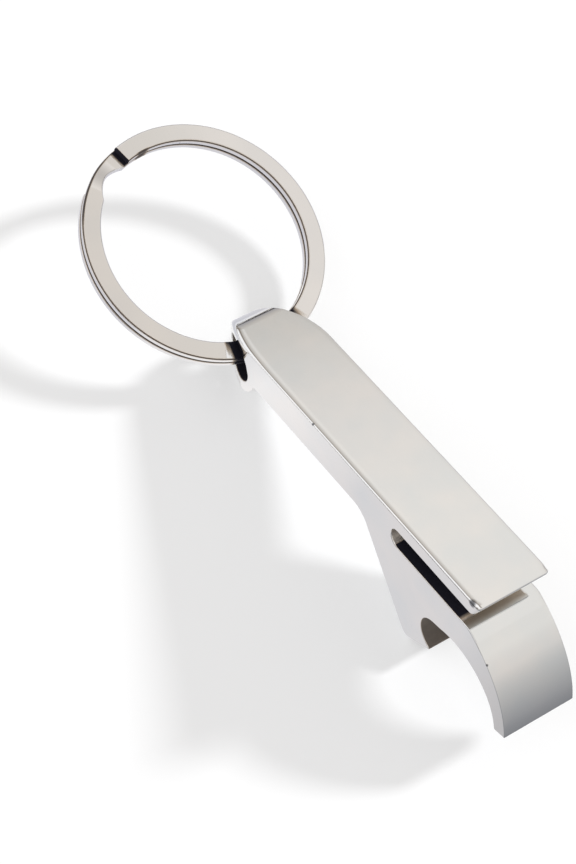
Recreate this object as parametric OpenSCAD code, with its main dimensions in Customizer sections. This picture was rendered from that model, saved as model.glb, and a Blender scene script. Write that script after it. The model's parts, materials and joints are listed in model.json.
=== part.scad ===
// Keychain bottle opener: a one-piece metal opener body and a split ring through its bore.
// The shapes are drawn with the top plate level: X runs from the bore to the tail, Y across the
// width, Z up, with the origin on the plate top above the bore. The whole part is then tipped so
// that it rests on the barrel and on the heel of the hook.

/* [Body] */
// width of the bar
body_w = 10; // [8:0.5:14]
// distance from the bore axis to the top edge of the plate's free end
plate_l = 51.6; // [44:0.1:60]
// thickness of the top plate
plate_t = 2.2; // [1.6:0.1:3]
// how far the plate's end face leans back under its top edge
plate_end_lean = 1.3; // [0:0.1:2]
// thickness of the solid handle
handle_t = 5.65; // [4:0.05:8]

/* [Barrel] */
// outer diameter of the barrel
barrel_d = 9; // [7:0.1:11]
// diameter of the ring bore
bore_d = 6.2; // [4:0.1:7]
// radius of the ground corner at the right end of the barrel
nose_r_right = 16; // [10:0.2:24]
// distance from the bore axis to the start of that corner
nose_x_right = 4; // [2:0.1:10]
// radius of the ground corner at the left end of the barrel
nose_r_left = 12.6; // [12:0.2:24]
// distance from the bore axis to the start of that corner
nose_x_left = 7; // [2:0.1:10]

/* [Can tab slot] */
// height of the slot
slot_h = 3.05; // [2:0.05:4]
// distance from the bore axis to the closed end of the slot
slot_x = 34.4; // [30:0.1:40]

/* [Cap hook] */
// slope of the hook's back
hook_slope = 57; // [45:1:75]
// distance from the bore axis to where the back's line meets the handle underside
hook_x = 28.35; // [24:0.05:34]
// inner radius of the bend between the handle and the hook
bend_r = 3.4; // [1:0.1:6]
// distance from the bore axis to the centre of the heel
heel_x = 38.0; // [34:0.05:42]
// depth of the heel's centre below the plate top
heel_z = 18.65; // [16:0.05:22]
// radius of the heel
heel_r = 1.1; // [0.5:0.05:2]
// distance from the bore axis to the tip of the lip
lip_x = 43.05; // [41:0.05:46]
// depth of the lip's tip
lip_z = 17.35; // [15:0.05:19]
// radius of the pocket behind the lip
pocket_r = 3.1; // [2:0.05:4]
// distance from the bore axis to the centre of the pocket
pocket_x = 43.9; // [42:0.05:46]
// depth of the pocket's centre
pocket_z = 14.4; // [12:0.05:16]

/* [Tail] */
// outer radius of the tail
tail_r_out = 14.9; // [12:0.05:18]
// distance from the bore axis to the centre of the outer arc
tail_x_out = 42.75; // [40:0.05:46]
// depth of the outer arc's centre
tail_z_out = 18.4; // [16:0.05:22]
// inner radius of the tail
tail_r_in = 8.25; // [7:0.05:10]
// distance from the bore axis to the centre of the inner arc
tail_x_in = 47.35; // [45:0.05:50]
// depth of the inner arc's centre
tail_z_in = 18.9; // [16:0.05:22]
// depth of the tail's tip at its inner corner
tip_z = 18.3; // [16:0.05:20]
// slope of the tip's end face
tip_slope = 15; // [0:1:30]

/* [Split ring] */
// outer diameter of the ring
ring_d = 32.8; // [24:0.1:36]
// width of the flat wire's face
wire_w = 2.5; // [1.5:0.1:3]
// thickness of the wire
wire_t = 1.0; // [0.7:0.05:1.5]
// gap between the two coils
coil_gap = 0.1; // [0.05:0.05:0.3]
// rounding of the wire's edges
wire_edge_r = 0.3; // [0.1:0.05:0.45]
// angle of the upper coil's free end, from the bore
end_upper = 197.5; // [0:0.5:360]
// angle at which the wire starts down from the upper coil
jog_start = 222; // [0:0.5:360]
// angle at which the wire reaches the lower coil
jog_end = 204; // [0:0.5:360]
// angle of the lower coil's free end
end_lower = 224; // [0:0.5:360]

/* [Ring pose] */
// rise of the ring above the plate's plane
ring_pitch = 29; // [0:1:60]
// roll of the ring in the slack of its bore
ring_roll = -9; // [-12:1:12]
// distance from the bore axis to the ring's centre
ring_reach = 15.2; // [14:0.05:17]
// distance of the ring's centre to the right of the bore's middle
ring_side = 0.8; // [-2:0.05:2]
// distance of the ring's mid-plane below the bore axis
ring_drop = 0; // [-1:0.05:1]

/* [Hidden] */
$fn = 96;

slack = 0.5;           // how far a cutting shape runs past what it cuts
far = 100;             // longer than any part of the body
bore_z = barrel_d / 2; // depth of the bore axis: the barrel's top is level with the plate
slot_floor = plate_t + slot_h;
wall = 2;              // about the thickness of the tail at its tip
heel_pt = [heel_x, -heel_z];
wire_r_out = ring_d / 2;
wire_r_in = wire_r_out - wire_w;
jog_relief_r = 4.5;    // cutter that thins the wire on its inside where it steps down
jog_relief_depth = 0.9;
jog_mid = (jog_start + jog_end) / 2;
jog_len = (jog_start - jog_end) * PI / 180 * (wire_r_in + wire_r_out) / 2;

// The floor line touches the barrel and the heel, so tipping by its slope levels it.
heel_run = heel_x;
heel_fall = bore_z - heel_z;
heel_gap = sqrt(heel_run * heel_run + heel_fall * heel_fall);
rest_tip = atan2(heel_fall, heel_run) + asin((barrel_d / 2 - heel_r) / heel_gap);
floor_z = -bore_z * cos(rest_tip) - barrel_d / 2;

// The middle of the whole part, ring included, measured from the bore axis along the floor.
middle_x = 15.3;
middle_y = -0.79;

module row_frame() {
    translate([-middle_x, -middle_y, -floor_z]) rotate([0, rest_tip, 0]) children();
}

// The sliver between a corner and an arc of radius r that touches both of its sides.
// a1 and a2 are the directions of the sides, leaving the corner c.
module corner_sliver(c, a1, a2, r) {
    half = abs(a2 - a1) / 2;
    reach = r / tan(half);
    mid = (a1 + a2) / 2;
    centre = c + r / sin(half) * [cos(mid), sin(mid)];
    difference() {
        polygon([c, c + reach * [cos(a1), sin(a1)], centre, c + reach * [cos(a2), sin(a2)]]);
        translate(centre) circle(r);
    }
}

// The straight sides of the whole body, with its arcs still to be added or cut.
module blank_profile() {
    slot_end = slot_x + slot_h / 2;
    heel_back = heel_pt + heel_r * [-sin(hook_slope), -cos(hook_slope)];
    under = atan2(heel_z + heel_r - lip_z, lip_x - heel_x);
    heel_under = heel_pt + heel_r * [sin(under), -cos(under)];
    // the tip's face slopes down from the outer side to the inner side
    tip_in = [tail_x_in + tail_r_in, -tip_z];
    tip_dir = [cos(tip_slope), sin(tip_slope)];
    polygon([
        [0, 0], [0, -handle_t], [hook_x, -handle_t], heel_back, heel_pt, heel_under,
        [lip_x, -lip_z], [pocket_x, -pocket_z], tip_in - wall * tip_dir,
        tip_in + 2 * wall * tip_dir, [tail_x_out + tail_r_out + slack, -slot_floor],
        [slot_end, -slot_floor], [slot_end, -plate_t], [plate_l - plate_end_lean, -plate_t],
        [plate_l, 0]
    ]);
}

// What is outside the tail's outer arc.
module tail_corner() {
    difference() {
        translate([tail_x_out, -far - slot_floor + slack]) square(far);
        translate([tail_x_out, -tail_z_out]) circle(tail_r_out);
    }
}

// The mouth that takes the cap: the pocket behind the lip and the space under the tail.
module mouth_profile() {
    translate([pocket_x, -pocket_z]) circle(pocket_r);
    intersection() {
        translate([tail_x_in, -tail_z_in]) circle(tail_r_in);
        translate([lip_x, -far]) square(far);
    }
}

module body_profile() {
    difference() {
        union() {
            blank_profile();
            translate([0, -bore_z]) circle(barrel_d / 2);
            translate(heel_pt) circle(heel_r);
            corner_sliver([hook_x, -handle_t], 180, 360 - hook_slope, bend_r);
        }
        translate([slot_x + slot_h / 2, -plate_t - slot_h / 2]) circle(slot_h / 2);
        tail_corner();
        mouth_profile();
    }
}

// What the grinding takes off one end of the barrel, seen from above. The side is at y = 0.
module nose_cut(x, r) {
    difference() {
        translate([x - r, -slack]) square([r, r + slack]);
        translate([x, r]) circle(r);
    }
}

module opener_body() color([0.8, 0.79, 0.78]) row_frame() {
    translate([0, -body_w / 2, 0]) difference() {
        rotate([90, 0, 0]) translate([0, 0, -body_w]) linear_extrude(body_w) body_profile();
        translate([0, -slack, -bore_z]) rotate([-90, 0, 0])
            cylinder(h = body_w + 2 * slack, d = bore_d);
        translate([0, 0, -far / 2]) linear_extrude(far) nose_cut(nose_x_right, nose_r_right);
        translate([0, body_w, -far / 2]) linear_extrude(far)
            mirror([0, 1]) nose_cut(nose_x_left, nose_r_left);
    }
}

// The wire's section, standing on z = 0, with its edges rounded.
module wire_section() {
    translate([wire_r_in + wire_edge_r, 0]) square([wire_w - 2 * wire_edge_r, wire_t]);
    translate([wire_r_in, wire_edge_r]) square([wire_w, wire_t - 2 * wire_edge_r]);
    for (x = [wire_r_in + wire_edge_r, wire_r_out - wire_edge_r])
        for (z = [wire_edge_r, wire_t - wire_edge_r])
            translate([x, z]) circle(wire_edge_r, $fn = 24);
}

// A coil from angle a up to angle b, standing on height z.
module coil(a, b, z) {
    translate([0, 0, z]) rotate([0, 0, a]) rotate_extrude(angle = b - a) wire_section();
}

// The step between the two coils, seen from the ring's centre.
module jog() {
    low = -coil_gap / 2 - wire_t;
    high = coil_gap / 2;
    run = jog_len / 2;
    lap = 0.6; // length of the flat piece that runs into each coil
    intersection() {
        rotate([0, 0, jog_mid]) rotate([90, 0, 90]) linear_extrude(far / 2) polygon([
            [-run - lap, low], [-run, low], [run, high], [run + lap, high],
            [run + lap, high + wire_t], [run, high + wire_t], [-run, low + wire_t],
            [-run - lap, low + wire_t]
        ]);
        difference() {
            translate([0, 0, low - slack]) cylinder(h = far / 4, r = wire_r_out);
            translate([0, 0, low - 2 * slack]) cylinder(h = far / 2, r = wire_r_in);
        }
    }
}

module split_ring() color([0.85, 0.84, 0.82]) row_frame() {
    translate([0, 0, -bore_z]) rotate([0, ring_pitch, 0]) rotate([ring_roll, 0, 0])
        translate([-ring_reach, -ring_side, -ring_drop]) difference() {
            union() {
                coil(jog_start - 360, end_upper, coil_gap / 2);
                coil(end_lower - 360, jog_end, -coil_gap / 2 - wire_t);
                jog();
            }
            // the wire is thinner on its inside where it steps down
            rotate([0, 0, jog_mid])
                translate([wire_r_in + jog_relief_depth - jog_relief_r, 0, -far / 2])
                    cylinder(h = far, r = jog_relief_r);
        }
}

opener_body();
split_ring();
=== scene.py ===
# Looks of the keychain bottle opener: the polished body, the split ring, a pale floor, studio light
# and the camera. Shapes are worked out in millimetres, in the frame they are drawn in: X from the
# bore to the tail, Y across, Z up from the level plate. Then they are tipped onto their resting
# points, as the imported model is.
import json
import math

import bpy
from mathutils import Matrix, Vector
from mathutils.geometry import delaunay_2d_cdt


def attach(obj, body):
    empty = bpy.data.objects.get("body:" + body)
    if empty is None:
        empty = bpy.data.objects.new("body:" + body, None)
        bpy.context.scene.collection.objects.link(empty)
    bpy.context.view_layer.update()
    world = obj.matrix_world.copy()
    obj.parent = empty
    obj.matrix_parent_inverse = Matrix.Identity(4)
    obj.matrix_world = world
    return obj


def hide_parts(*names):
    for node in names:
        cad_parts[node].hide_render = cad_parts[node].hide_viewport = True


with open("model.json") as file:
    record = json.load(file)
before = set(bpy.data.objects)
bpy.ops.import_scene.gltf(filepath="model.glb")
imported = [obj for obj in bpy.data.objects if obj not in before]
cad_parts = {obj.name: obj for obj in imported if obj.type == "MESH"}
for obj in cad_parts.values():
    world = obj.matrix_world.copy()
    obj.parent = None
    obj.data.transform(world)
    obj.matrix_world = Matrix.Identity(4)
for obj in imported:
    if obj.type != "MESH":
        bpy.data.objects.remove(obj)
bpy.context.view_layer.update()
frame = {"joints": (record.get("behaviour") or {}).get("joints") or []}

MM = 0.001

# ---------------------------------------------------------------- the opener's dimensions, in mm
BODY_W = 10
PLATE_L = 51.6
PLATE_T = 2.2
PLATE_END_LEAN = 1.3
HANDLE_T = 5.65
BARREL_R = 4.5
BORE_R = 3.1
NOSE_RIGHT = (4, 16)  # where the barrel's ground corner starts along X, and its radius
NOSE_LEFT = (7, 12.6)
SLOT_H = 3.05
SLOT_X = 34.4
HOOK_SLOPE = 57       # in degrees
HOOK_X = 28.35        # where the hook's back, drawn on, meets the handle's underside
BEND_R = 3.4
HEEL = Vector((38.0, -18.65))
HEEL_R = 1.1
LIP = Vector((43.05, -17.35))
POCKET = Vector((43.9, -14.4))
POCKET_R = 3.1
TAIL_OUT = Vector((42.75, -18.4))
TAIL_OUT_R = 14.9
TAIL_IN = Vector((47.35, -18.9))
TAIL_IN_R = 8.25
TIP_Z = 18.3
TIP_SLOPE = 15

# ---------------------------------------------------------------- the outline's rounded corners, in mm
CORNER_UNDER_BARREL = 0.4
CORNER_LIP = 0.8
CORNER_POCKET = 0.8
CORNER_TIP_IN = 0.4
CORNER_TIP_OUT = 0.3
CORNER_SLOT_FLOOR = 0.6
CORNER_PLATE_UNDER = 0.45
CORNER_PLATE_TOP = 0.75
CORNER_STEPS = 7

# ---------------------------------------------------------------- the body's softened edges, in mm
EDGE = 0.16           # width of the rounding along the body's sides
EDGE_AT_NOSE = 0.45   # what is added to it at the barrel, on the plate's right edge
EDGE_AT_PLATE = 0.12  # and along the rest of that edge
EDGE_AT_END = 0.3     # and at the plate's free end
EDGE_AT_TIP = 0.1     # and at the tail's tip
EDGE_IN_SLOT = 0.06   # and at the slot's closed end
BORE_EDGE = 0.25
EDGE_STEPS = 5
PLATE_CORNER_R = 0.8  # rounding of the plate's free corners, seen from above
WIDEST_EDGE = 0.42    # the most that an edge takes of the body's width, as a part of it
TIP_X = 52            # past this, what faces down is the tail's tip
CROWN_TOP = 8.5       # how far, in degrees, polishing has tipped the top over near its right edge
CROWN_WALL = 2.0      # and the other walls near theirs
CROWN_LEFT = 1.0      # and all of them near their left edges

# ---------------------------------------------------------------- the ring's dimensions, in mm
RING_R = 16.4
WIRE_W = 2.5
WIRE_T = 1.0
COIL_GAP = 0.1
WIRE_EDGE_R = 0.3
WIRE_END_R = 0.12   # rounding of the wire's cut ends
END_UPPER = 197.5   # angles round the ring, from the bore, in degrees
JOG_START = 222
JOG_END = 204
END_LOWER = 224
RELIEF_R = 4.5
RELIEF_DEPTH = 0.9
RING_PITCH = 29
RING_ROLL = -9
RING_OFFSET = Vector((-15.2, -0.8, 0))

# ---------------------------------------------------------------- painted shade and painted reflections on the plating
# A mark of 0 is polished, BROWN is rough with painted brown shade and reflection, 1 is painted black
# shade.
# A pair is where a change starts and where it is complete: places along X in mm, unless its comment
# says otherwise.
BROWN = 0.5
# painted brown reflection at the slot's closed end
SLOT_END_MARK = 0.3
SLOT_END = SLOT_X + 0.8
# painted brown reflection on the slot's roof, turning to painted black shade deeper in
ROOF_BLACK = (45, 43)
ROOF_CLEAR = (47, 51)
ROOF_CLEARED = 0.35              # what clearing takes off the slot roof's mark at its free end
# painted black shade on the slot's floor
FLOOR_BLACK = (45.5, 43.5)
NEAR_FLOOR_BLACK = (48.5, 47.9)  # on the floor's right edge
# painted shade in the pocket and the mouth
HOLLOW_MARK = 0.8                # of the pocket and the mouth
MOUTH_BLACK = (46.5, 43.5)
# painted black shade in the bore, lighter on its far wall
BORE_CLEAR = (-1.6, -0.8)        # height on the bore's far wall, from its axis
BORE_CLEARED = 0.6               # what clearing takes off the mark there
# on the ring: painted shade in the bore, between the coils and on the cut ends, and painted dark
# reflections as a line and a spot
WIRE_IN_BORE = (5.75, 5.4)       # distance from the middle of the bore along its axis
WIRE_FACING = (0.1, 0.9)         # how squarely one coil faces the other
WIRE_CUT = (0, 0.4)              # how far the cut end's rounding has turned
END_SHADE = 2.5                  # how far the upper coil's end darkens the one below, in degrees
LINE_MARK = 0.9                  # the dark line along an edge of the upper coil
LINE_THIN = 0.9                  # how narrow the line is
LINE_SWELL = 0.6                 # how much thicker it is at the step between the coils
LINE_SWELLS = (24, 12)           # distance from the step, in degrees
SPOT = 187                       # the dark spot on the inner rim, before the upper coil's end
SPOT_MARK = 0.85
SPOT_SPREAD = (5, 2.5)           # distance from the spot, in degrees

# ---------------------------------------------------------------- dark spots: (place, radius), in mm
DARK_SPOTS = (
    ((18.0, -4.9, -0.05), 0.24),
    ((53.5, -4.95, -8.05), 0.22),
    ((50.1, -4.95, -0.2), 0.62),
)

# ---------------------------------------------------------------- from drawing frame to row frame
heel_fall = -BARREL_R - HEEL.y
heel_gap = math.hypot(HEEL.x, heel_fall)
rest_tip = math.atan2(-heel_fall, HEEL.x) + math.asin((BARREL_R - HEEL_R) / heel_gap)
bore_axis = Vector(frame["joints"][0]["pos_m"]) / MM
TIP = Matrix.Rotation(rest_tip, 3, "Y")


def to_row(p):
    """A point of the drawing frame, in the row frame and in metres."""
    return (TIP @ (Vector(p) + Vector((0, 0, BARREL_R))) + bore_axis) * MM


def turned(angle):
    """The direction at an angle, in degrees."""
    return Vector((math.cos(math.radians(angle)), math.sin(math.radians(angle))))


def smooth(t):
    t = min(max(t, 0), 1)
    return t * t * (3 - 2 * t)


def fade(value, start, end):
    """0 at start, 1 at end, eased in between."""
    return smooth((value - start) / (end - start))


# ---------------------------------------------------------------- outline pieces
# A strand is a list of (point, outward normal). The metal is on the left of the way it runs.
def line(a, b, pieces=1):
    d = (b - a).normalized()
    return [(a.lerp(b, i / pieces), Vector((d.y, -d.x))) for i in range(pieces + 1)]


def arc(centre, r, a0, a1, step=3):
    """From angle a0 to a1 in degrees. It runs anticlockwise round metal, clockwise round a hollow."""
    n = math.ceil(abs(a1 - a0) / step)
    side = 1 if a1 > a0 else -1
    out = []
    for i in range(n + 1):
        a = math.radians(a0 + (a1 - a0) * i / n)
        d = Vector((math.cos(a), math.sin(a)))
        out.append((centre + r * d, side * d))
    return out


def angle_of(p, centre):
    return math.degrees(math.atan2(p.y - centre.y, p.x - centre.x))


def cut(strand, d):
    """The strand without its first d millimetres."""
    for i in range(len(strand) - 1):
        (p, n), (q, m) = strand[i], strand[i + 1]
        step = (q - p).length
        if step > d:
            f = d / step
            return [(p.lerp(q, f), n.lerp(m, f).normalized())] + strand[i + 1:]
        d -= step
    raise ValueError("the strand is shorter than the cut")


def corner(a, b, steps):
    """A round corner from sample a to sample b, tangent to both."""
    (p, n), (q, m) = a, b
    t, u = Vector((-n.y, n.x)), Vector((-m.y, m.x))
    cross = t.x * u.y - t.y * u.x
    gap = q - p
    c = p + t * ((gap.x * u.y - gap.y * u.x) / cross)
    out = []
    for i in range(1, steps):
        f = i / steps
        point = (1 - f) ** 2 * p + 2 * f * (1 - f) * c + f * f * q
        d = ((1 - f) * (c - p) + f * (q - c)).normalized()
        out.append((point, Vector((d.y, -d.x))))
    return out


def joined(parts):
    """The closed outline of strands, each with the length its end corner takes."""
    cuts = [c for _, c in parts]
    ready = []
    for i, (strand, end) in enumerate(parts):
        s = cut(strand, cuts[i - 1])
        ready.append(cut(s[::-1], end)[::-1])
    out = []
    for i, s in enumerate(ready):
        out += s + corner(s[-1], ready[(i + 1) % len(ready)][0], CORNER_STEPS)
    return out


def tidy(samples):
    """Without the doubles where two pieces of a strand meet."""
    least = 1e-3
    return [s for i, s in enumerate(samples) if (s[0] - samples[i - 1][0]).length > least]


def outline():
    """The body's profile, anticlockwise, starting at the free end of the plate's top."""
    bore = Vector((0, -BARREL_R))
    slot_floor = -PLATE_T - SLOT_H
    slot_mid = Vector((SLOT_X + SLOT_H / 2, (slot_floor - PLATE_T) / 2))
    slope = math.radians(HOOK_SLOPE)
    under = Vector((math.sqrt(BARREL_R**2 - (HANDLE_T - BARREL_R) ** 2), -HANDLE_T))
    bend_x = HOOK_X - BEND_R * math.tan(slope / 2)
    bend = Vector((bend_x, -HANDLE_T - BEND_R))
    bend_arc = arc(bend, BEND_R, 90, 90 - HOOK_SLOPE)
    lip_slope = math.degrees(math.atan2(LIP.y - HEEL.y + HEEL_R, LIP.x - HEEL.x))
    heel_arc = arc(HEEL, HEEL_R, 270 - HOOK_SLOPE, 270 + lip_slope, step=6)
    # the pocket's arc ends where it meets the mouth's
    between = TAIL_IN - POCKET
    along = (between.length_squared + POCKET_R**2 - TAIL_IN_R**2) / (2 * between.length)
    ridge_angle = math.degrees(math.atan2(between.y, between.x) + math.acos(along / POCKET_R))
    ridge = POCKET + POCKET_R * turned(ridge_angle)
    # the tip's face runs from the inner arc out to the outer one
    tip_in = Vector((TAIL_IN.x + TAIL_IN_R, -TIP_Z))
    tip_dir = turned(TIP_SLOPE)
    rel = tip_in - TAIL_OUT
    ahead = rel.dot(tip_dir)
    tip_out = tip_in + (math.sqrt(ahead**2 - rel.length_squared + TAIL_OUT_R**2) - ahead) * tip_dir
    floor_reach = math.sqrt(TAIL_OUT_R**2 - (slot_floor - TAIL_OUT.y) ** 2)
    floor_end = Vector((TAIL_OUT.x + floor_reach, slot_floor))
    plate_end = Vector((PLATE_L, 0))
    plate_under = Vector((PLATE_L - PLATE_END_LEAN, -PLATE_T))
    top = tidy(
        line(plate_end, Vector((0, 0)), pieces=60)
        + arc(bore, BARREL_R, 90, 360 + angle_of(under, bore))
    )
    hook = tidy(
        line(under, bend_arc[0][0], pieces=20)
        + bend_arc
        + line(bend_arc[-1][0], heel_arc[0][0], pieces=12)
        + heel_arc
        + line(heel_arc[-1][0], LIP, pieces=24)
    )
    pocket = arc(POCKET, POCKET_R, 360 + angle_of(LIP, POCKET), ridge_angle)
    mouth = arc(TAIL_IN, TAIL_IN_R, angle_of(ridge, TAIL_IN), angle_of(tip_in, TAIL_IN), step=2)
    tip = line(tip_in, tip_out)
    tail_from, tail_to = angle_of(tip_out, TAIL_OUT), angle_of(floor_end, TAIL_OUT)
    tail = arc(TAIL_OUT, TAIL_OUT_R, tail_from, tail_to, step=1.5)
    slot = tidy(
        line(floor_end, Vector((slot_mid.x, slot_floor)), pieces=14)
        + arc(slot_mid, SLOT_H / 2, 270, 90, step=6)
        + line(Vector((slot_mid.x, -PLATE_T)), plate_under, pieces=14)
    )
    return joined([
        (top, CORNER_UNDER_BARREL), (hook, CORNER_LIP), (pocket, CORNER_POCKET), (mouth, CORNER_TIP_IN),
        (tip, CORNER_TIP_OUT), (tail, CORNER_SLOT_FLOOR), (slot, CORNER_PLATE_UNDER),
        (line(plate_under, plate_end), CORNER_PLATE_TOP),
    ])


# ---------------------------------------------------------------- the body's mesh
NEAR = 0.1  # how close to a line or a corner counts as being on it, in mm


def on_plate(p):
    """Whether a point is no lower than the plate's underside."""
    return p.y > -PLATE_T - NEAR


def nose(p, side):
    """How far the side stands in from the flat at a point, and its slope angle."""
    start, r = NOSE_RIGHT if side < 0 else NOSE_LEFT
    past = (start - p.x) / r
    if p.x > PLATE_L - PLATE_CORNER_R and on_plate(p):
        past, r = (PLATE_L - PLATE_CORNER_R - p.x) / PLATE_CORNER_R, PLATE_CORNER_R
    elif past < 0:
        return 0, 0
    # held just short of square to the side
    beta = math.asin(max(min(past, 0.99), -0.95))
    return r * (1 - math.cos(beta)), beta


def side_point(p, side):
    """Where the side face is at (x, z), side -1 being the right one, and its outward normal."""
    inset, beta = nose(p, side)
    return (
        Vector((p.x, side * (BODY_W / 2 - inset), p.y)),
        Vector((-math.sin(beta), side * math.cos(beta), 0)),
    )


def in_slot(p):
    """Whether a point of the outline is on the can tab slot."""
    return p.x > SLOT_X - NEAR and abs(p.y + PLATE_T + SLOT_H / 2) < SLOT_H / 2 + NEAR / 2


def edge_width(p, n, side):
    """The rounding's width at a point of the outline: wider at the plate's end and near the barrel."""
    w = EDGE
    if side < 0:
        w += (EDGE_AT_PLATE + EDGE_AT_NOSE * fade(p.x, 8, -1)) * fade(p.y, -3, 0)
    if on_plate(p):
        w += EDGE_AT_END * fade(p.x, PLATE_L - 2, PLATE_L - 0.6)
    faces_down = abs(n.x) < 0.5 and n.y < -0.8
    if faces_down and p.x > TIP_X:
        w += EDGE_AT_TIP
    if in_slot(p) and p.x < SLOT_X + 1:
        w += EDGE_IN_SLOT
    room = BODY_W - nose(p, -1)[0] - nose(p, 1)[0]
    return min(w, WIDEST_EDGE * room)


def crown(p, n, side):
    """How far the wall is tipped over near its edge: most on the top, not at all underneath."""
    if side > 0:
        return CROWN_LEFT
    if n.y > 0.99 and p.y > -NEAR:
        return CROWN_TOP
    return CROWN_WALL if n.y > -0.5 else 0


def tight_radius(loop, i):
    """The outline's radius at a point where it bends outwards, and a large one elsewhere."""
    (p, n), (q, m) = loop[i - 1], loop[(i + 1) % len(loop)]
    turn = n.angle(m, 0)
    bends_out = n.x * m.y - n.y * m.x > 0
    return (q - p).length / turn if bends_out and turn > 1e-4 else 100


def edge_widths(loop, side, width):
    """The widths along a loop, held below the local radius where the outline turns tightly."""
    reach = 20   # how many points to each side are looked at
    slope = 0.3  # how fast the width may grow away from a tight turn
    n = len(loop)
    caps = [0.75 * tight_radius(loop, i) for i in range(n)]
    out = []
    for i in range(n):
        w = width(loop[i][0], loop[i][1], side)
        for k in range(-reach, reach + 1):
            j = (i + k) % n
            w = min(w, caps[j] + slope * (loop[i][0] - loop[j][0]).length)
        out.append(w)
    return out


class Shell:
    """Vertices, normals, faces and marks of a mesh being built."""

    def __init__(self):
        self.points, self.normals, self.faces, self.marks = [], [], [], []

    def add(self, point, normal, mark=0.0):
        self.points.append(point)
        self.normals.append(normal)
        self.marks.append(mark)
        return len(self.points) - 1

    def strip(self, a, b):
        """Faces between two closed loops of vertices, a then b."""
        n = len(a)
        for i in range(n):
            j = (i + 1) % n
            self.faces.append((a[i], a[j], b[j], b[i]))


def rounded_edge(shell, loop, side, width, mark):
    """The loops of vertices from the wall, round the edge, to the side face."""
    rings = [[] for _ in range(EDGE_STEPS + 1)]
    for (p, n), w in zip(loop, edge_widths(loop, side, width)):
        edge, _ = side_point(p, side)
        start = edge - Vector((0, side * width(p, n, side), 0))
        end, end_normal = side_point(p - n * w, side)
        tipped = side * math.tan(math.radians(crown(p, n, side)))
        wall_normal = Vector((n.x, tipped, n.y)).normalized()
        for k in range(EDGE_STEPS + 1):
            f = k / EDGE_STEPS
            point = (1 - f) ** 2 * start + 2 * f * (1 - f) * edge + f * f * end
            # the wall's painted shade, fading out over the rounding
            shade_mark = mark(p, side < 0) * fade(f, 0.5, 0)
            rings[k].append(shell.add(point, wall_normal.lerp(end_normal, f).normalized(), shade_mark))
    return rings


def side_face(shell, side, outer, bore):
    """Fills the side between the outer loop and the bore's loop, following the ground corner."""
    index = outer + bore
    flat = [Vector((shell.points[i].x, shell.points[i].z)) for i in index]
    n = len(outer)
    edges = [(i, (i + 1) % n) for i in range(n)]
    m = len(bore)
    edges += [(n + i, n + (i + 1) % m) for i in range(m)]
    # points inside the ground corner, which curves, on a grid that keeps clear of both loops
    start = NOSE_RIGHT[0] if side < 0 else NOSE_LEFT[0]
    middle = Vector((0, -BARREL_R))
    step = 0.5
    clear = 1
    bore_clear = 0.8
    for i in range(int((start + BARREL_R) / step)):
        x = start - i * step
        for k in range(int(2 * BARREL_R / step)):
            q = Vector((x, -k * step - step / 2))
            reach = (q - middle).length
            in_barrel = q.x < 0 and reach < BARREL_R - clear
            in_handle = q.x >= 0 and -HANDLE_T + 0.6 < q.y < -clear
            if (in_barrel or in_handle) and reach > BORE_R + bore_clear:
                flat.append(q)
    inside_only = 1
    points, _, faces, _, _, _ = delaunay_2d_cdt(flat, edges, [], inside_only, 1e-6)
    if len(points) != len(flat):
        raise ValueError("the side's outline crosses itself")
    for q in points[len(index):]:
        point, normal = side_point(q, side)
        index.append(shell.add(point, normal))
    for f in faces:
        a, b, c = (points[i] for i in f)
        if ((a + b + c) / 3 - middle).length < BORE_R:
            continue
        turn = (b - a).x * (c - a).y - (b - a).y * (c - a).x
        tri = [index[i] for i in f]
        shell.faces.append(tri if (turn > 0) == (side < 0) else tri[::-1])


def painted_shade(p, near_side=False):
    """The painted shade at a point of the outline: dark in the bore, pocket, mouth and slot, with
    painted brown reflections on the slot's roof and closed end. near_side is the part of the wall by
    its right edge.
    """
    from_bore = p + Vector((0, BARREL_R))
    if from_bore.length < BORE_R + 0.5:
        on_far_wall = from_bore.x < -2
        return 1 - BORE_CLEARED * fade(from_bore.y, *BORE_CLEAR) if on_far_wall else 1
    if in_slot(p):
        if p.x < SLOT_END:
            return SLOT_END_MARK
        on_roof = p.y > -PLATE_T - 0.3
        if on_roof:
            return BROWN + BROWN * fade(p.x, *ROOF_BLACK) - ROOF_CLEARED * fade(p.x, *ROOF_CLEAR)
        return fade(p.x, *(NEAR_FLOOR_BLACK if near_side else FLOOR_BLACK))
    if (p - POCKET).length < POCKET_R + 0.6:
        return HOLLOW_MARK
    if (p - TAIL_IN).length < TAIL_IN_R + 0.4:
        return HOLLOW_MARK * fade(p.x, *MOUTH_BLACK)
    return 0


def flat_line(shell, right, left, loop, f):
    """A line of vertices round the wall, a part f of the way from its right edge to its left."""
    out = []
    for a, b, (p, n) in zip(right, left, loop):
        point = shell.points[a].lerp(shell.points[b], f)
        out.append(shell.add(point, Vector((n.x, 0, n.y)), painted_shade(p, f < 0.2)))
    return out


def make_body():
    shell = Shell()
    loop = outline()
    bore = arc(Vector((0, -BARREL_R)), BORE_R, 360, 0, step=5)[:-1]
    ends = {}
    for side in (-1, 1):
        outer = rounded_edge(shell, loop, side, edge_width, painted_shade)
        inner = rounded_edge(shell, bore, side, lambda p, n, s: BORE_EDGE, painted_shade)
        for rings in (outer, inner):
            for a, b in zip(rings, rings[1:]):
                shell.strip(*((a, b) if side < 0 else (b, a)))  # each side faces outwards
        side_face(shell, side, outer[-1], inner[-1])
        ends[side] = outer[0], inner[0]
    for right, left, around in zip(ends[-1], ends[1], (loop, bore)):
        # the wall is flat between lines near its edges, and near_side counts up to the second of them
        lines = [flat_line(shell, right, left, around, f) for f in (0.09, 0.19, 0.26, 0.94)]
        for a, b in zip(lines + [left], [right] + lines):
            shell.strip(a, b)
    return shell


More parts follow.
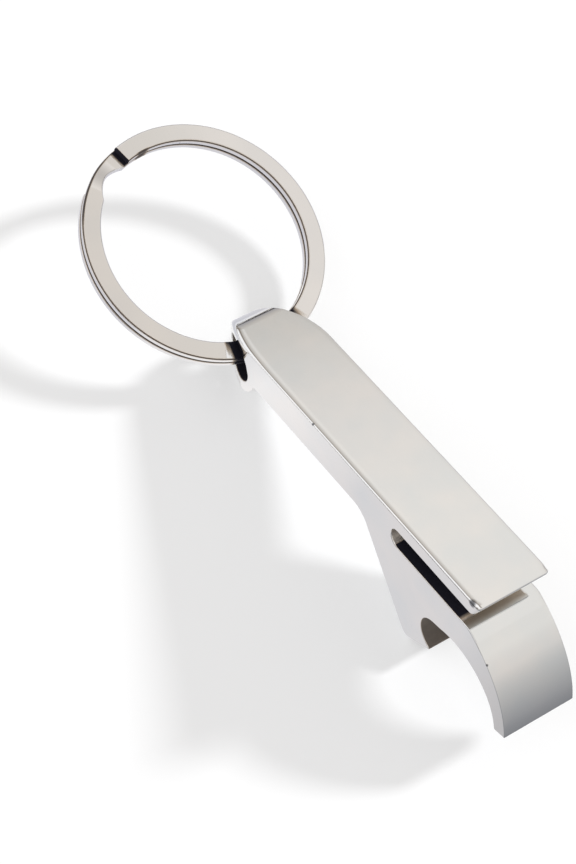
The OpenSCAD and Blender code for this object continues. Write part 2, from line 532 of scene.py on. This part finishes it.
# ---------------------------------------------------------------- the ring's mesh
def wire_section(r_in, shrink):
    """The wire's section: (radius, height, normal) with rounded corners, shrunk by a margin."""
    r = WIRE_EDGE_R - shrink / 2
    half = WIRE_T / 2 - shrink
    x_out, x_in, top = RING_R - shrink - r, r_in + shrink + r, half - r
    steps = 5
    out = []
    for x, z, a0 in ((x_out, top, 0), (x_in, top, 90), (x_in, -top, 180), (x_out, -top, 270)):
        for k in range(steps + 1):
            way = turned(a0 + 90 * k / steps)
            out.append((x + r * way.x, z + r * way.y, way))
    return out


def wire_level(t):
    """Height of the wire's middle at angle t, stepping up between the coils."""
    f = smooth((t - JOG_END) / (JOG_START - JOG_END))
    return (f - 0.5) * (WIRE_T + COIL_GAP)


def inner_radius(t):
    """The wire is thinner on its inside where it steps between the coils."""
    full = RING_R - WIRE_W
    phi = math.radians(t - (JOG_START + JOG_END) / 2)
    centre = full + RELIEF_DEPTH - RELIEF_R
    under = RELIEF_R**2 - (centre * math.sin(phi)) ** 2
    far = 0.6
    if abs(phi) > far or under < 0:
        return full
    return max(full, centre * math.cos(phi) + math.sqrt(under))


def wire_mark(t, way, lean, place):
    """The painted shade at angle t round the ring, where the section faces way, (outwards, upwards)."""
    # painted shade, with roughness, where one coil faces the other, on the cut ends and in the bore
    facing = way.y if t < END_UPPER + END_SHADE else -way.y if t > END_LOWER else 0
    between = fade(facing, *WIRE_FACING)
    cut_end = fade(abs(lean), *WIRE_CUT)
    in_bore = fade(abs(place.y), *WIRE_IN_BORE) if place.x > -RING_R / 2 else 0
    # a painted dark reflection: a line on the upper coil's top, at its outer edge up to the bore and
    # its inner edge past it
    edge = way.x if t < 360 else -way.x
    swell = LINE_SWELL * fade(abs(t - JOG_START), *LINE_SWELLS)
    on_top = way.y > 0 and t > END_UPPER
    line_mark = LINE_MARK * smooth(4 * edge * way.y - LINE_THIN + swell) if on_top else 0
    # a painted dark reflection: a spot on the inner rim
    on_inner_rim = way.x < -0.25
    spot = SPOT_MARK * fade(abs(t % 360 - SPOT), *SPOT_SPREAD) if on_inner_rim else 0
    return max(between, cut_end, in_bore, line_mark, spot)


def wire_stations():
    """(angle, how much the section shrinks, how far its normals lean along the wire) for each loop."""
    t0, t1 = END_LOWER - 360, END_UPPER + 360
    steps = round((t1 - t0) / 1.5)
    mid_r = RING_R - WIRE_W / 2
    start = []
    for k in range(4):
        way = turned(30 * k)
        t = t0 + math.degrees(WIRE_END_R * (1 - way.x) / mid_r)
        start.append((t, WIRE_END_R * (1 - way.y), -way.x))
    end = [(t0 + t1 - t, shrink, -lean) for t, shrink, lean in start[::-1]]
    first, last = start[-1][0], end[0][0]
    return start + [(first + (last - first) * i / steps, 0, 0) for i in range(1, steps)] + end


def make_ring():
    shell = Shell()
    pitch = Matrix.Rotation(math.radians(RING_PITCH), 3, "Y")
    pose = pitch @ Matrix.Rotation(math.radians(RING_ROLL), 3, "X")
    mid_r = RING_R - WIRE_W / 2
    loops = []
    for t, shrink, lean in wire_stations():
        out = turned(t).to_3d()
        along = Vector((-out.y, out.x, 0))
        rise = (wire_level(t + 0.5) - wire_level(t - 0.5)) / (mid_r * math.radians(1))
        along = (along + Vector((0, 0, rise))).normalized()
        loop = []
        for r, z, way in wire_section(inner_radius(t), shrink):
            normal = out * way.x + Vector((0, 0, way.y))
            normal = (normal - along * normal.dot(along)).normalized()
            normal = normal * math.sqrt(max(0, 1 - lean * lean)) + along * lean
            point = out * r + Vector((0, 0, z + wire_level(t)))
            place = pose @ (point + RING_OFFSET) - Vector((0, 0, BARREL_R))
            loop.append(shell.add(place, pose @ normal, wire_mark(t, way, lean, place)))
        loops.append(loop)
    for a, b in zip(loops, loops[1:]):
        shell.strip(b, a)
    shell.faces.append(tuple(loops[0]))
    shell.faces.append(tuple(loops[-1][::-1]))
    return shell


def to_object(shell, name, body, node, material):
    mesh = bpy.data.meshes.new(name)
    mesh.from_pydata([to_row(p) for p in shell.points], [], shell.faces)
    mark = mesh.attributes.new("painted_shade", "FLOAT", "POINT")
    mark.data.foreach_set("value", shell.marks)
    mesh.shade_smooth()
    mesh.normals_split_custom_set_from_vertices([(TIP @ n).normalized() for n in shell.normals])
    mesh.materials.append(material)
    obj = bpy.data.objects.new(name, mesh)
    bpy.context.scene.collection.objects.link(obj)
    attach(obj, body)
    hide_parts(node)


# ---------------------------------------------------------------- materials
class Nodes:
    """Shorthand for building a node tree."""

    def __init__(self, tree):
        self.tree = tree

    def add(self, kind, inputs=None, **settings):
        node = self.tree.nodes.new(kind)
        for key, value in settings.items():
            setattr(node, key, value)
        for key, value in (inputs or {}).items():
            if isinstance(value, bpy.types.NodeSocket):
                self.tree.links.new(value, node.inputs[key])
            else:
                node.inputs[key].default_value = value
        return node

    def noise(self, vector, scale, detail=2.0, rough=0.5):
        return self.add("ShaderNodeTexNoise", {
            "Vector": vector, "Scale": scale, "Detail": detail, "Roughness": rough}).outputs["Fac"]

    def stretched(self, vector, scale):
        return self.add("ShaderNodeMapping", {"Vector": vector, "Scale": scale}).outputs["Vector"]

    def ranged(self, value, lo, hi, to_lo=0, to_hi=1):
        return self.add("ShaderNodeMapRange", {
            "Value": value, "From Min": lo, "From Max": hi, "To Min": to_lo, "To Max": to_hi,
        }).outputs["Result"]

    def mix(self, factor, a, b):
        """Colour a where the factor is 0 and b where it is 1."""
        return self.add("ShaderNodeMix", {0: factor, 6: a, 7: b}, data_type="RGBA").outputs[2]

    def ramp(self, value, tones):
        """A colour ramp through tones of (position, colour)."""
        node = self.add("ShaderNodeValToRGB", {"Fac": value})
        stops = node.color_ramp.elements
        stops[0].position, stops[-1].position = tones[0][0], tones[-1][0]
        for place, _ in tones[1:-1]:
            stops.new(place)
        for stop, (_, colour) in zip(stops, tones):
            stop.color = (*colour, 1)
        return node.outputs["Color"]

    def calc(self, kind, a, b=0.0):
        return self.add("ShaderNodeMath", {0: a, 1: b}, operation=kind).outputs[0]


# painted brown shade and reflection, and painted black shade, mixed in by the mesh's mark
PAINTED_BROWN_SHADE = (0.68, 0.59, 0.49, 1)
PAINTED_BLACK_SHADE = (0.035, 0.035, 0.05, 1)
PIT_COLOUR = (0.10, 0.10, 0.11, 1)
WHITE = (1, 1, 1, 1)
FLOOR_COLOUR = (0.44, 0.445, 0.45, 1)
FLOOR_GLOW = 0.47  # lifts the floor to a pale tone, so that its shadows stay faint


def chrome(name, warm, cool, roughness, dark_spots=()):
    """Polished plating: cloudy tint, fine polishing lines, soft waviness, a few pits and dark spots,
    and painted shade and painted reflections from the mesh's mark.
    """
    mat = bpy.data.materials.new(name)
    mat.use_nodes = True
    mat.node_tree.nodes.clear()
    k = Nodes(mat.node_tree)
    where = k.add("ShaderNodeTexCoord").outputs["Object"]
    clouds = k.noise(where, scale=130, detail=3)
    tint = k.mix(k.ranged(clouds, 0.35, 0.65), warm, cool)
    grain = k.noise(k.stretched(where, (600, 5000, 5000)), scale=1, detail=3, rough=0.6)
    # small pits, and only in some places
    cells = k.add("ShaderNodeTexVoronoi", {"Vector": where, "Scale": 330, "Randomness": 1.0})
    pit = k.ranged(cells.outputs["Distance"], 0.03, 0.06, 1, 0)
    pit = k.calc("MULTIPLY", pit, k.calc("GREATER_THAN", k.noise(where, scale=90, detail=0), 0.66))
    for place, size in dark_spots:
        away = k.add("ShaderNodeVectorMath", {0: where, 1: to_row(place)}, operation="DISTANCE")
        near = k.ranged(away.outputs["Value"], 0.5 * size * MM, size * MM, 1, 0)
        pit = k.calc("MAXIMUM", pit, near)
    # painted shade and painted reflections from the mesh's mark: brown, then black
    shade_mark = k.add("ShaderNodeAttribute", attribute_name="painted_shade").outputs["Fac"]
    colour = k.mix(k.calc("MULTIPLY", pit, 0.9), tint, PIT_COLOUR)
    colour = k.mix(k.ranged(shade_mark, 0, BROWN), colour, PAINTED_BROWN_SHADE)
    colour = k.mix(k.ranged(shade_mark, BROWN, 1), colour, PAINTED_BLACK_SHADE)
    rough = k.ranged(grain, 0.3, 0.7, roughness * 0.8, roughness * 1.25)
    rough = k.calc("ADD", rough, k.ranged(shade_mark, 0, BROWN, 0, 0.75))
    height = k.calc("ADD", k.calc("MULTIPLY", grain, 0.04), k.calc("MULTIPLY", pit, -0.6))
    waves = k.noise(where, scale=220, detail=1)
    height = k.calc("ADD", height, k.calc("MULTIPLY", waves, 0.9))
    bump = k.add("ShaderNodeBump", {"Height": height, "Strength": 0.25, "Distance": 0.02 * MM})
    shader = k.add("ShaderNodeBsdfPrincipled", {
        "Base Color": colour, "Metallic": 1.0, "Roughness": rough, "Normal": bump.outputs["Normal"]})
    k.add("ShaderNodeOutputMaterial", {"Surface": shader.outputs["BSDF"]})
    return mat


def floor_material():
    mat = bpy.data.materials.new("studio_floor")
    mat.use_nodes = True
    mat.node_tree.nodes.clear()
    k = Nodes(mat.node_tree)
    matte = k.add("ShaderNodeBsdfDiffuse", {"Color": FLOOR_COLOUR})
    glow = k.add("ShaderNodeEmission", {"Color": WHITE, "Strength": FLOOR_GLOW})
    shader = k.add("ShaderNodeAddShader", {0: matte.outputs[0], 1: glow.outputs[0]})
    k.add("ShaderNodeOutputMaterial", {"Surface": shader.outputs[0]})
    return mat


# the warm and the cool tint, and the roughness
body_chrome = chrome("body_chrome", (0.90, 0.88, 0.86, 1), (0.84, 0.85, 0.85, 1), 0.09, DARK_SPOTS)
ring_chrome = chrome("ring_chrome", (0.92, 0.90, 0.88, 1), (0.88, 0.87, 0.86, 1), 0.05)
to_object(make_body(), "opener_body_polished", "opener", "opener_body", body_chrome)
to_object(make_ring(), "split_ring_wound", "ring", "split_ring", ring_chrome)

# ---------------------------------------------------------------- floor and light
FLOOR_HALF = 1.2  # half the floor's width, in metres
SUN_STRENGTH = 3.1
SUN_WIDTH = 8     # in degrees
SUN_WAY = Vector((-0.2, -1, -0.65))
BROWN_ROOM = (0.27, 0.235, 0.20, 1)
SOFTBOX = (1.06, 1.06, 1.08, 1)

floor_mesh = bpy.data.meshes.new("floor")
floor_corners = [(x * FLOOR_HALF, y * FLOOR_HALF, 0) for x, y in ((-1, -1), (1, -1), (1, 1), (-1, 1))]
floor_mesh.from_pydata(floor_corners, [], [(0, 1, 2, 3)])
floor_mesh.materials.append(floor_material())
floor = bpy.data.objects.new("floor", floor_mesh)
bpy.context.scene.collection.objects.link(floor)

world = bpy.data.worlds.new("studio")
bpy.context.scene.world = world
world.use_nodes = True
world.node_tree.nodes.clear()
w = Nodes(world.node_tree)
way = w.add("ShaderNodeTexCoord").outputs["Generated"]
part = w.add("ShaderNodeSeparateXYZ", {"Vector": way}).outputs
# the room's tone, by how steeply a reflected ray rises
sky = w.ramp(part["Z"], [
    (0, (0.02, 0.02, 0.03)), (0.12, (0.03, 0.03, 0.04)), (0.18, (0.40, 0.39, 0.40)),
    (0.45, (0.58, 0.55, 0.52)), (0.534, (0.61, 0.59, 0.56)), (0.5362, (0.71, 0.69, 0.66)),
    (0.559, (0.79, 0.77, 0.75)), (0.607, (0.88, 0.86, 0.83)), (1, (0.88, 0.86, 0.83)),
])
# the wall on the left, which the ring's faces show
wall = w.ramp(part["Z"], [
    (0, (0.03, 0.03, 0.04)), (0.2, (0.5, 0.48, 0.46)), (0.77, (0.81, 0.78, 0.75)),
    (0.79, (0.74, 0.71, 0.67)), (0.83, (0.71, 0.67, 0.63)), (1, (0.88, 0.86, 0.83)),
])
sky = w.mix(w.ranged(part["Y"], 0.42, 0.5), sky, wall)
# from the middle to the right it is brown, wherever the softbox isn't
room = w.mix(w.ranged(part["Y"], 0.04, 0.26), BROWN_ROOM, sky)
# a bright softbox on the right, which comes down lower on the ring's side than on the tail's
above = w.calc("SUBTRACT", part["Z"], w.ranged(part["X"], -0.5, -0.3, 0.05, 0.35))
lit_part = w.calc("MULTIPLY", w.ranged(part["Y"], -0.1, -0.2), w.ranged(above, 0, 0.1))
studio = w.mix(lit_part, room, SOFTBOX)
seen = w.add("ShaderNodeBackground", {"Color": WHITE, "Strength": 1.0})
lit = w.add("ShaderNodeBackground", {"Color": studio, "Strength": 1.0})
camera_ray = w.add("ShaderNodeLightPath").outputs["Is Camera Ray"]
both = w.add("ShaderNodeMixShader", {0: camera_ray, 1: lit.outputs[0], 2: seen.outputs[0]})
w.add("ShaderNodeOutputWorld", {"Surface": both.outputs[0]})

sun_data = bpy.data.lights.new("key", "SUN")
sun_data.energy = SUN_STRENGTH
sun_data.angle = math.radians(SUN_WIDTH)
sun = bpy.data.objects.new("key", sun_data)
sun.rotation_euler = SUN_WAY.to_track_quat("-Z", "Y").to_euler()
sun.visible_glossy = False
bpy.context.scene.collection.objects.link(sun)

# ---------------------------------------------------------------- glowing cards seen only in reflections, which paint reflections, in mm
SHEET_Z = 0.1       # height of the lying cards
RING_END = -23.5    # where the card under the ring meets the one beside the body
FOOT = (45.2, 64)   # the card in front of the tail's tip, along X
RIGHT = -32         # the right edge of the cards under the ring and beside the body, along Y
DARK_EDGE = -33     # the near edge of the dark card, along Y
FAR = 200


def card(name, corners, axis, tones):
    """A glowing card seen only in reflections, which paints a reflection onto the plating. Its tones
    are (place along the axis, colour).
    """
    mesh = bpy.data.meshes.new(name)
    mesh.from_pydata([Vector(c) * MM for c in corners], [], [(0, 1, 2, 3)])
    mat = bpy.data.materials.new(name)
    mat.use_nodes = True
    mat.node_tree.nodes.clear()
    k = Nodes(mat.node_tree)
    where = k.add("ShaderNodeTexCoord").outputs["Object"]
    place = k.add("ShaderNodeSeparateXYZ", {"Vector": where}).outputs[axis]
    start, end = tones[0][0], tones[-1][0]
    along = k.ranged(place, start * MM, end * MM)
    tone = k.ramp(along, [((at - start) / (end - start), colour) for at, colour in tones])
    glow = k.add("ShaderNodeEmission", {"Color": tone, "Strength": 1.0})
    k.add("ShaderNodeOutputMaterial", {"Surface": glow.outputs[0]})
    mesh.materials.append(mat)
    obj = bpy.data.objects.new(name, mesh)
    obj.visible_camera = obj.visible_diffuse = obj.visible_shadow = False
    bpy.context.scene.collection.objects.link(obj)


def lying(x0, x1, y0, y1):
    """The corners of a card just above the floor."""
    return [(x0, y0, SHEET_Z), (x1, y0, SHEET_Z), (x1, y1, SHEET_Z), (x0, y1, SHEET_Z)]


# painted reflections on the tail: a glowing card in front of it that gets lighter upwards, and its foot
card("tail_card", [(FOOT[1], -120, 0), (FOOT[1], FAR, 0), (85, FAR, 120), (85, -120, 120)], "Z", [
    (0, (0.31, 0.32, 0.34)), (18, (0.54, 0.54, 0.54)),
    (32, (0.73, 0.71, 0.69)), (60, (0.84, 0.82, 0.79)),
])
card("tail_foot", lying(*FOOT, -120, FAR), "X", [(48, (0.22, 0.23, 0.25)), (64, (0.31, 0.32, 0.34))])
# painted reflections of the floor: the wire's rim shows the first of these, and the body's right side
# the second
card("ring_sheet", lying(-FAR, RING_END, RIGHT, 120), "X", [
    (-110, (0.88, 0.88, 0.92)), (-60, (0.84, 0.84, 0.89)), (-48, (0.68, 0.68, 0.73)),
    (-33, (0.68, 0.68, 0.73)), (RING_END, (0.74, 0.74, 0.79)),
])
card("side_sheet", lying(RING_END, FOOT[0], RIGHT, -4), "X", [
    (RING_END, (0.70, 0.70, 0.74)), (-19, (0.82, 0.82, 0.85)), (-15, (0.86, 0.86, 0.88)),
    (-11, (0.96, 0.95, 0.96)), (-6, (0.93, 0.92, 0.93)), (8, (0.76, 0.75, 0.77)),
    (30, (0.74, 0.73, 0.75)), (42, (0.54, 0.54, 0.56)),
])
# a painted dark reflection: further out on the right the plating shows a dark card, not the pale floor
dark_corners = [(20, -FAR), (100, -FAR), (100, DARK_EDGE), (-30, DARK_EDGE)]
card("dark_sheet", [(x, y, SHEET_Z) for x, y in dark_corners], "Y", [
    (-FAR, (0.10, 0.10, 0.11)), (DARK_EDGE, (0.06, 0.06, 0.07)),
])

# ---------------------------------------------------------------- camera, at the photograph's angle
CAMERA_AZIMUTH, CAMERA_ELEVATION, CAMERA_ROLL = 44.48, 60.90, -14.92  # in degrees
AIM = Vector((-0.64, -5.16, 8.2)) * MM
DISTANCE = 268.16 * MM
LENS = 91.67    # in mm, on a sensor this wide
SENSOR = 36
a, e, roll = (math.radians(v) for v in (CAMERA_AZIMUTH, CAMERA_ELEVATION, CAMERA_ROLL))
back = Vector((math.sin(a) * math.cos(e), -math.cos(a) * math.cos(e), math.sin(e)))
level = Vector((0, 0, 1)).cross(back).normalized()
upright = back.cross(level)
right = level * math.cos(roll) - upright * math.sin(roll)
top = back.cross(right)
camera_data = bpy.data.cameras.new("camera")
camera_data.lens = LENS
camera_data.sensor_width = SENSOR
camera_data.clip_start, camera_data.clip_end = 0.01, 10
camera = bpy.data.objects.new("camera", camera_data)
turn = Matrix((right, top, back)).transposed().to_4x4()
camera.matrix_world = Matrix.Translation(AIM + back * DISTANCE) @ turn
bpy.context.scene.collection.objects.link(camera)
bpy.context.scene.camera = camera
bpy.context.scene.view_settings.view_transform = "Standard"
